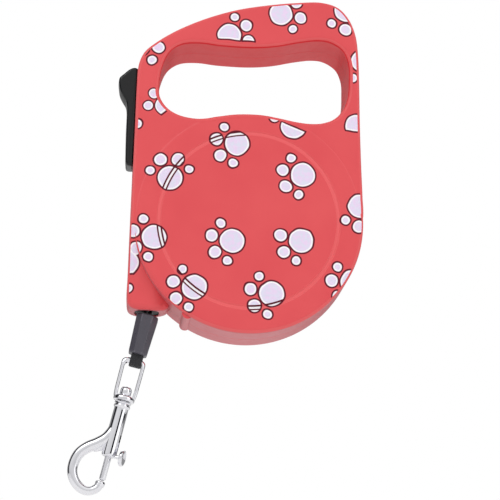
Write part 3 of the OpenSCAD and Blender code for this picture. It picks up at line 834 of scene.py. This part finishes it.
def outlet_guide():
    """The black guide in the outlet: a rounded block with a flared slot for the tape."""
    low, high = NOZZLE_Z + 1.6, NOZZLE_Z + 7.5
    block_rows = guide_rings(5.9, 6.7, (low, low + 0.3, high - 0.3, high), (0.96, 1, 1, 0.96))
    piece = as_object("outlet_guide_block", closed(block_rows))
    lean = -math.tan(TILT)
    heights = np.array([low - 0.1, low + 0.6, low + 1.6, high - 1.6, high - 0.6, high + 0.1])
    slot = guide_rings(1.0, 1.0, heights, np.ones(6), 3.0)
    flare = np.array([1.5, 1.15, 1.0, 1.0, 1.15, 1.5])[:, None]
    slot[..., 0] = OUTLET_X + (slot[..., 0] - OUTLET_X) * 1.35 * flare - lean * (heights[:, None] - NOZZLE_Z)
    slot[..., 1] *= 5.5 * (0.9 + 0.1 * flare)
    combine(piece, [closed(slot)], "DIFFERENCE")
    return finish_piece(piece, "housing", "black_plastic", ["outlet_guide"], 35, True)


def housing(name, side, node):
    """One half of the housing: round frame and drum made one, hollowed, then fitted out."""
    piece = as_object(name, drum_solid(side, side < 0))
    combine(piece, [opening_plug(side)], "DIFFERENCE")
    combine(piece, [frame_solid(side)], "UNION")
    combine(piece, cavity_solids(side), "DIFFERENCE")
    x0, x1, wide, z0, z1 = CHANNEL
    tray = block(-48.1, x1 + FLOOR_T, *sorted((0.0, side * (wide + FLOOR_T))), z0 - FLOOR_T, z1 + 0.6)
    nub_a = np.radians(np.linspace(NUB_FROM, NUB_TO, 12))
    swell = DRUM_R - 0.5 + NUB_PROUD * np.sin(np.linspace(0, math.pi, 12)) ** 0.6
    nub = np.concatenate([
        np.stack([swell * np.cos(nub_a), swell * np.sin(nub_a)], 1),
        (DRUM_R - 1.5) * np.stack([np.cos(nub_a[::-1]), np.sin(nub_a[::-1])], 1)])
    adds = [tray, prism(nub, *sorted((0.0, side * NUB_HALF)))]
    inner = HALF_T - WALL + 0.2
    for x, z in SCREWS:
        reach = inner if z > -20 or x > 0 else inner - 2.6
        adds.append(pin(x, z, BOSS_R, 0.0, side * reach))
    if side < 0:
        adds.append(pin(0, 0, AXLE_BOSS_R, -7.5, -inner))
        adds.append(pin(*PIVOT, PIVOT_BOSS_R, -10.1, -inner))
    else:
        adds.append(block(-36.5, -34.5, -0.9, inner, 23.8, 29.8))
        peg = [[0.01, -39.4], [1.2, -39.4], [1.2, -36.4], [0.01, -36.4]]
        adds.append(turned(peg, 32, "x", (0, 0, 26.8)))
    combine(piece, adds, "UNION")
    stem_w, stem_0, stem_1 = STEM
    cuts = [
        block(x0, x1, -wide, wide, z0, z1),
        block(x1 - 0.5, x1 + FLOOR_T + 1, -stem_w, stem_w, stem_0, stem_1),
        closed(guide_rings(6.0, 6.8, (NOZZLE_Z + 1.5, NOZZLE_Z + 7.6), (1, 1))),
    ]
    round_x, round_y = squared_circle(40, 0.6)
    mouth = np.stack([OUTLET_X + 5.3 * round_x, 6.7 * round_y], 1)
    flare = (1.12, 1.0, 0.97, 0.97)
    heights = (NOZZLE_Z - 1, NOZZLE_Z + 0.7, NOZZLE_Z + 1.2, NOZZLE_Z + 2.5)
    middle = np.array([OUTLET_X, 0.0])
    cuts.append(closed(np.stack([
        np.column_stack([(mouth - middle) * f + middle, np.full(40, h)]) for f, h in zip(flare, heights)])))
    for x, z in SCREWS:
        if side < 0:
            cuts.append(pin(x, z, THREAD_R, -9.0, 1.0, 24))
        else:
            cuts.append(pin(x, z, SHANK_R, -1.0, 15.5, 24))
            recess = [[0.01, 6.0], [2.3, 6.0], [2.3, 13.9], [3.2, 15.0], [0.01, 15.0]]
            cuts.append(turned(recess, 36, "y", (x, 0, z)))
    if side < 0:
        cuts.append(pin(0, 0, AXLE_R, 1.0, -12.5))
        cuts.append(pin(*PIVOT, PIN_HOLE_R, 1.0, -12.5, 24))
    else:
        cuts.append(pin(0, 0, AXLE_R, 11.5, 13.5))
    combine(piece, cuts, "DIFFERENCE")
    mark_faces(piece, side)
    return finish_piece(piece, "housing", "coral_shell", [node], 32, True)


def mark_faces(piece, side):
    """Face attributes: where it is printed, its rounded edges for a painted highlight, the opening's wall for
    painted shade and its underside for painted shade and reflection.
    """
    centre, normal = face_places(piece.data)
    in_plane = centre[:, [0, 2]]
    parts = np.array_split(in_plane, 1 + len(in_plane) // 4000)
    to_wall = np.concatenate([np.linalg.norm(some[:, None] - OPENING, axis=2).min(1) for some in parts])
    from_axle = np.hypot(centre[:, 0], centre[:, 2])
    outside = centre[:, 1] * side > 0.5
    facing = np.abs(normal[:, 1])
    column = (centre[:, 2] < TAPER_TOP) & (centre[:, 0] < -30)
    ring = np.abs(from_axle - RING_R) < 1.1
    step = np.abs(centre[:, 1]) > HALF_T - DISC_PROUD - 0.02
    level = facing > np.where(column, 0.7, np.where(step, 0.87, 0.985))
    printed = outside & (level | ring & (facing > 0.1)) & (centre[:, 1] * side > 4)
    # Rounded edges get a painted highlight, the opening's wall gets painted shade, and faces looking down get
    # painted shade and reflection.
    rounded = outside & (facing > 0.25) & (facing < 0.95) & ~column
    wall = (to_wall < 1.6) & (facing < 0.6)
    under = (normal[:, 2] < -0.25) & (facing < 0.3) & ~wall & (from_axle > 40)
    for label, values in (
            ("print_face", printed), ("edge", rounded & ~wall), ("opening_wall_shade", wall), ("underside", under)):
        mark(piece.data, label, values)


housing("housing_front", -1, "front_shell")
housing("housing_rear", 1, "rear_shell")
outlet_guide()


# ---------------------------------------------------------------- brake button
def brake_button():
    """Side outline of the button carried across its width; the ends are drawn in as a quarter circle."""
    half_w, edge = 5.5, 1.1
    side = through([
        (-49.5, 24), (-49.5, 34), (-49.5, 46), (-49.5, 58), (-49.5, 66), (-49.9, 68.0), (-51.4, 68.4),
        (-53.3, 67.6), (-55.6, 65.5), (-57.4, 63.7), (-57.75, 62.6), (-57.5, 60), (-56.9, 57.4),
        (-55.4, 54.6), (-54.2, 52.6), (-53.7, 49.5), (-53.6, 40), (-53.4, 31), (-53.2, 26.2),
        (-52.8, 24.4), (-51.8, 23.9), (-50.2, 23.9)], 6)
    inwards = normals_in_plane(side)
    area = np.sum(side[:, 0] * np.roll(side[:, 1], -1) - np.roll(side[:, 0], -1) * side[:, 1])
    inwards = inwards * math.copysign(1, area)
    rows = [(inset, drop - half_w) for drop, inset in quarter(edge, 7)]
    rows += [(-0.12 * math.cos(y / 4.4 * math.pi / 2), y) for y in (-3.0, -1.0, 1.0, 3.0)]
    rows += [(inset, -y) for inset, y in rows[6::-1]]
    grid = np.stack([lay(side + inwards * inset, y) for inset, y in rows])
    piece = as_object("brake_button_cap", closed(grid))
    ridges = [block(-58.2 + 0.95 * i, -57.9 + 0.95 * i, -3.6, 3.6, 63.9 + 0.78 * i, 69) for i in range(4)]
    stem = block(-49.9, -42.6, -2.2, 2.2, 33.8, 40.8)
    combine(piece, [stem], "UNION")
    combine(piece, ridges, "DIFFERENCE")
    return finish_piece(piece, "button", "button_plastic", ["brake_button"], 30, True)


brake_button()


# ---------------------------------------------------------------- leash end
BAR_S = 20.5
KNOB_TURN = -15
EYE_END = 38.2
COLLAR_S = 38.5
SLEEVE_OFF = 0.6
TAPE_HALF_W = 5.0
STRAP_SIDES = 40


def octagon_ring(half_w, half_d, cut):
    """An octagon with rounded corners: each corner is a short quadratic curve between its two sides."""
    corner, per = 0.35, 5
    c = np.array([
        (half_w, -half_d + cut), (half_w, half_d - cut), (half_w - cut, half_d), (-half_w + cut, half_d),
        (-half_w, half_d - cut), (-half_w, -half_d + cut), (-half_w + cut, -half_d), (half_w - cut, -half_d)])
    back, ahead = np.roll(c, 1, 0) - c, np.roll(c, -1, 0) - c
    back /= np.linalg.norm(back, axis=1, keepdims=True)
    ahead /= np.linalg.norm(ahead, axis=1, keepdims=True)
    w = np.linspace(0, 1, per)[None, :, None]
    p, q = (c + back * corner)[:, None], (c + ahead * corner)[:, None]
    return (p * (1 - w) ** 2 + 2 * c[:, None] * w * (1 - w) + q * w ** 2).reshape(-1, 2)


def end_sleeve():
    """The tapered sleeve: rounded octagons down the leash line, drawn in at both ends."""
    rows = []
    top, low = 0.25, 17.6
    for s, inset in ((top, 0.9), (top + 0.12, 0.45), (top + 0.45, 0.12), (top + 0.9, 0.0), (4.0, 0.0),
                     (8.0, 0.0), (12.0, 0.0), (16.6, 0.0), (17.2, 0.1), (17.5, 0.35), (low, 0.8)):
        down = (s - top) / (low - top)
        ring = octagon_ring(4.7 - 0.8 * down - inset, 6.0 - 1.0 * down - inset, 2.4 - 0.2 * down)
        rows.append(from_line(ring[:, 0] + SLEEVE_OFF, ring[:, 1], np.full(len(ring), s)))
    piece = as_object("end_sleeve_moulding", closed(np.stack(rows)))
    # The small faces at the rounded corners are marked for a painted highlight.
    area = np.empty(len(piece.data.polygons))
    piece.data.polygons.foreach_get("area", area)
    mark(piece.data, "edge", area < 0.6)
    return finish_piece(piece, "leash_end", "sleeve_plastic", ["end_sleeve"], 50, True)


def strap(name, path, middle, half_w, half_t, body, replaced):
    """A woven strap along a path [y, s] in the plane across the leash line, with rolled edges.

    Its section is a flat superellipse; the strap's own map is the distance round and along, in mm.
    """
    path = np.asarray(path, float)
    along = np.gradient(path, axis=0)
    along /= np.linalg.norm(along, axis=1, keepdims=True)
    out = np.stack([-along[:, 1], along[:, 0]], 1)
    c, d = squared_circle(STRAP_SIDES, 0.35, 0.8)
    far = np.concatenate([[0], np.cumsum(np.linalg.norm(np.diff(path, axis=0), axis=1))])
    weave = 1 + 0.05 * np.sin(far * 2 * math.pi / 1.1)[:, None] * np.cos(half_w * c * 2 * math.pi / 1.1)
    y = path[:, :1] + out[:, :1] * half_t * d * weave
    s = path[:, 1:] + out[:, 1:] * half_t * d * weave
    t = middle + half_w * c + 0 * y
    piece = as_object(name, closed(from_line(t, y, s)))
    strap_map(piece.data, STRAP_SIDES, lambda ring, point: half_w * c[point] + half_w + 0.3 * d[point],
              lambda ring, point: far[ring])
    return finish_piece(piece, body, "webbing", replaced, 60)


def webbing_loop():
    """Down the front of the sleeve's end, round the eye's bar and up the back."""
    r = 1.3 + 0.25 + 0.5
    a = np.linspace(0, math.pi, 22)
    down = np.linspace(16.8, BAR_S, 12)[:-1]
    front = np.stack([np.full(11, -r), down], 1)
    turn = np.stack([-r * np.cos(a), BAR_S + r * np.sin(a)], 1)
    back = np.stack([np.full(11, r), down[::-1]], 1)
    path = np.concatenate([front, turn, back])
    return strap("webbing_strap", path, 0.75, 2.6, 0.5, "leash_end", ["webbing_loop"])


def tape_run():
    """The straight tape from the roll to the sleeve, its width along y."""
    s = np.linspace(0.7, -48.4, 120)
    c, d = squared_circle(STRAP_SIDES, 0.35, 0.8)
    grid = from_line(0.4 * d[None, :] + 0 * s[:, None], TAPE_HALF_W * c[None, :], s[:, None])
    piece = as_object("tape_strip", closed(grid))
    strap_map(piece.data, STRAP_SIDES, lambda ring, point: TAPE_HALF_W * c[point] + TAPE_HALF_W,
              lambda ring, point: -s[ring])
    return finish_piece(piece, "leash_end", "webbing", ["tape_run"], 60)


def tape_winding():
    """The wound tape: one turned profile whose two sides are ridged once for each layer."""
    inner, outer, layer, around = 14.0, 31.0, 0.8, 160
    r = np.linspace(inner + 0.02, outer, 150)
    ridge = 0.14 * np.abs(np.sin((r - inner) / layer * math.pi)) - 0.14
    front = np.stack([r, -TAPE_HALF_W - ridge], 1)
    back = np.stack([r[::-1], TAPE_HALF_W + ridge[::-1]], 1)
    rim = [[outer, y] for y in (-2.5, 0.0, 2.5)]
    profile = np.concatenate([front, rim, back])
    piece = as_object("tape_winding", turned(profile, around, wrap_rows=True))
    strap_map(piece.data, around, lambda ring, point: profile[ring, 1] + TAPE_HALF_W,
              lambda ring, point: point / around * 2 * math.pi * outer)
    return finish_piece(piece, "spool_group", "webbing", ["tape_roll"], 50)


end_sleeve()
webbing_loop()
tape_run()
tape_winding()


# ---------------------------------------------------------------- bolt snap
def line_turned(profile, t=0.0, sides=64):
    """A profile [radius, s] turned round the leash line."""
    profile = np.asarray(profile, float)
    a = np.arange(sides) / sides * 2 * math.pi
    r, s = profile[:, :1], profile[:, 1:]
    return closed(from_line(t + r * np.cos(a), r * np.sin(a), s + 0 * a))


def swivel_frame():
    """The swivel eye: one bar swept round a tall rounded window, on a drilled foot."""
    half, foot_s = 4.2, EYE_END - 1.2
    path = through([
        (0, BAR_S), (2.1, BAR_S), (3.5, BAR_S + 0.35), (half, BAR_S + 1.9), (half + 0.05, 25), (half, 30),
        (half - 0.1, 34), (half - 0.6, foot_s - 0.4), (1.8, foot_s), (0, foot_s), (-1.8, foot_s),
        (-half + 0.6, foot_s - 0.4), (-half + 0.1, 34), (-half, 30), (-half - 0.05, 25),
        (-half, BAR_S + 1.9), (-3.5, BAR_S + 0.35), (-2.1, BAR_S)], 8)
    ends = np.abs(path[:, 0]) < 2.4
    top = smoothstep((BAR_S + 2.5 - path[:, 1]) / 2.0)
    wide = 0.8 + 0.5 * top
    thick = 1.35 - 0.05 * top + np.where(ends & (path[:, 1] > 30), 0.6, 0.0)
    loop = closed(swept(path, wide, thick, 3.2 - 1.2 * top, 28, loop=True), wrap_rows=True)
    foot = line_turned([
        [0.02, 35.8], [3.6, 35.8], [4.15, 36.0], [4.45, 36.5], [4.5, 37.2], [4.4, 37.8], [4.0, 38.1],
        [3.0, EYE_END], [0.02, EYE_END]])
    piece = as_object("swivel_frame", loop)
    combine(piece, [foot], "UNION")
    combine(piece, [line_turned([[0.01, 34], [1.68, 34], [1.68, 40], [0.01, 40]])], "DIFFERENCE")
    return finish_piece(piece, "swivel", "chrome", ["swivel_eye"], 40, True)


def swivel_pin():
    """The swivel's pin: a domed, peened head over a neck that runs down into the hook's collar."""
    head = [
        [0.02, 31.55], [0.7, 31.6], [1.4, 31.8], [1.95, 32.2], [2.3, 32.8], [2.4, 33.4], [2.4, 35.1],
        [2.25, 35.4]]
    neck = [[1.6, 35.5], [1.6, 38.6], [0.02, 38.6]]
    piece = as_object("swivel_pin", line_turned(head + neck))
    return finish_piece(piece, "hook", "chrome", ["swivel_rivet"], 40)


def snap_hook():
    """The hook: ringed collar, round shank flowing into a D-shaped bow, drilled and slotted for the bolt."""
    collar = line_turned([
        [0.02, COLLAR_S], [2.9, COLLAR_S], [3.35, 38.65], [3.5, 38.95], [3.4, 39.3], [3.02, 39.5],
        [3.02, 39.75], [3.4, 39.95], [3.5, 40.3], [3.4, 40.65], [3.1, 40.95], [3.0, 41.4], [3.05, 44],
        [3.1, 50], [3.1, 61.0], [2.9, 61.8], [2.4, 62.1], [0.02, 62.1]])
    bow = through([
        (-0.6, 47.5), (-1.0, 51), (-2.6, 54.6), (-5.6, 57.6), (-9.2, 60.3), (-12.0, 63.6), (-13.15, 67.5),
        (-13.0, 71.2), (-11.4, 74.6), (-8.7, 77.0), (-5.6, 77.95), (-3.0, 77.3), (-1.3, 75.9), (-0.65, 74.4)],
        9, loop=False)
    far = np.linspace(0, 1, len(bow))
    wide = np.interp(far, [0, 0.12, 0.3, 0.5, 0.7, 0.85, 1.0], [2.2, 2.5, 2.35, 2.1, 2.0, 1.8, 1.75])
    thick = np.interp(far, [0, 0.12, 0.3, 0.5, 0.7, 0.85, 1.0], [2.4, 2.7, 2.3, 2.1, 2.1, 2.1, 2.1])
    arm = closed(swept(bow, wide, thick, 2.3))
    cup = line_turned([
        [0.02, 72.75], [1.5, 72.75], [1.85, 72.95], [2.05, 73.4], [2.0, 74.1], [1.8, 74.9], [1.2, 75.5],
        [0.02, 75.7]], -0.45)
    web = closed(swept([(-2.5, 57.0), (-4.4, 59.4), (-6.4, 61.4)], [1.2, 1.5, 0.35], [1.3, 1.4, 0.4]))
    piece = as_object("snap_hook", collar)
    combine(piece, [arm, cup, web], "UNION")
    bore = line_turned([[0.01, 42.7], [1.4, 42.7], [1.4, 63.5], [0.01, 63.5]])
    slot_s0, slot_s1, slot_w = 52.4, 64.0, 1.0
    turn = math.radians(KNOB_TURN)
    corners = np.array([(0.0, -slot_w), (5.0, -slot_w), (5.0, slot_w), (0.0, slot_w)])
    t = corners[:, 0] * math.cos(turn) - corners[:, 1] * math.sin(turn)
    y = corners[:, 0] * math.sin(turn) + corners[:, 1] * math.cos(turn)
    slot = closed(np.stack([from_line(t, y, np.full(4, s)) for s in (slot_s0, slot_s1)]))
    seam_t = (0.3, 0.9)
    seam = closed(np.stack([
        from_line(np.array([seam_t[0], seam_t[1], seam_t[1], seam_t[0]]),
                  np.array([-3.4, -3.4, -1.9, -1.9]), np.full(4, s))
        for s in (42.0, 61.0)]))
    combine(piece, [bore, slot, seam], "DIFFERENCE")
    # Faces of the seam slot on the front side, marked for painted shade in the chrome.
    centre, _ = face_places(piece.data)
    side = (centre[:, 0] - OUTLET_X) * math.cos(TILT) - (centre[:, 2] - NOZZLE_Z) * math.sin(TILT)
    down = -(centre[:, 0] - OUTLET_X) * math.sin(TILT) - (centre[:, 2] - NOZZLE_Z) * math.cos(TILT)
    seam_shade = (side > seam_t[0] - 0.02) & (side < seam_t[1] + 0.02) & (centre[:, 1] < -1.4)
    seam_shade &= (down > 41.9) & (down < 61.2) & (np.hypot(side, centre[:, 1]) < 2.9)
    mark(piece.data, "recess", seam_shade)
    return finish_piece(piece, "hook", "chrome", ["hook_body"], 40, True)


def snap_bolt():
    """The spring bolt: a plain rod with a rounded nose."""
    a = np.linspace(0, math.pi / 2, 7)
    nose = [[max(0.02, 1.35 * math.cos(b)), 71.6 + 0.8 * math.sin(b)] for b in a]
    rod = [[0.02, 54.6], [1.15, 54.6], [1.35, 54.8], [1.35, 60.0]]
    piece = as_object("snap_bolt", line_turned(rod + nose, sides=48))
    return finish_piece(piece, "bolt", "chrome", ["hook_bolt"], 40)


def thumb_knob():
    """The bolt's thumb knob: a dished disc on a short stem, square to the leash line."""
    turn = math.radians(KNOB_TURN)
    at = 61.5
    profile = np.array([
        [0.02, 1.25], [0.8, 1.25], [0.8, 4.7], [1.2, 5.05], [2.9, 5.1], [3.2, 5.25], [3.35, 5.6], [3.35, 6.2],
        [3.2, 6.55], [2.9, 6.7], [2.4, 6.62], [1.6, 6.35], [0.8, 6.2], [0.02, 6.15]])
    a = np.arange(56) / 56 * 2 * math.pi
    ribs = 1 - 0.02 * (profile[:, :1] > 3.3) * (np.cos(a * 14) > 0)
    out, r = profile[:, 1:], profile[:, :1] * ribs
    t = out * math.cos(turn) - r * np.cos(a) * math.sin(turn)
    y = out * math.sin(turn) + r * np.cos(a) * math.cos(turn)
    piece = as_object("thumb_knob", closed(from_line(t, y, at + r * np.sin(a))))
    return finish_piece(piece, "bolt", "chrome", ["bolt_knob"], 35)


swivel_frame()
swivel_pin()
snap_hook()
snap_bolt()
thumb_knob()


# ---------------------------------------------------------------- studio
def studio():
    """A pale floor well below the object, soft lamps round it and a pale surround."""
    floor_mesh = bpy.data.meshes.new("floor")
    half, low = 3.0, -0.34
    floor_mesh.from_pydata(
        [(-half, -half, low), (half, -half, low), (half, half, low), (-half, half, low)], [],
        [(0, 1, 2, 3)])
    floor = placed("floor", floor_mesh)
    material, _, surface = new_finish("floor", Roughness=0.7)
    surface["Base Color"].default_value = linear(236, 236, 236)
    floor_mesh.materials.append(material)

    def lamp(name, place, size, power):
        data = bpy.data.lights.new(name, "AREA")
        data.shape = "RECTANGLE"
        data.size, data.size_y = size
        data.energy = power
        made = placed(name, data)
        direction = Vector((0, 0, -0.08)) - Vector(place)
        made.location = place
        made.rotation_euler = direction.to_track_quat("-Z", "Y").to_euler()

    lamp("key", (-0.55, -0.75, 0.65), (0.7, 0.5), 2.2)
    lamp("fill", (0.8, -0.6, 0.1), (0.6, 0.8), 1.0)
    lamp("back", (0.1, 0.9, 0.7), (0.8, 0.5), 2.0)
    world = bpy.data.worlds.new("surround")
    bpy.context.scene.world = world
    world.use_nodes = True
    tree = world.node_tree
    tree.nodes.clear()
    path = add(tree, "ShaderNodeLightPath").outputs
    way = add(tree, "ShaderNodeTexCoord").outputs["Generated"]
    part = add(tree, "ShaderNodeSeparateXYZ", {0: way}).outputs
    height = band(part["Z"], -0.5, 0.8)
    light = blend_colours(height, (0.5, 0.5, 0.51, 1), (0.95, 0.95, 0.95, 1))
    behind = times(band(part["Y"], 0.0, 0.4), path["Is Glossy Ray"])
    light = blend_colours(behind, light, (0.3, 0.3, 0.3, 1))
    belt = band(calc("ABSOLUTE", part["Y"]), 0.5, 0.2)
    belt = times(belt, path["Is Glossy Ray"])
    light = blend_colours(belt, light, (0.015, 0.015, 0.018, 1))
    colour = blend_colours(path["Is Camera Ray"], light, (1.0, 1.0, 1.0, 1))
    back = add(tree, "ShaderNodeBackground", {"Color": colour, "Strength": 1.0})
    output = tree.nodes.new("ShaderNodeOutputWorld")
    tree.links.new(back.outputs[0], output.inputs["Surface"])
    bpy.context.scene.view_settings.view_transform = "Standard"


studio()
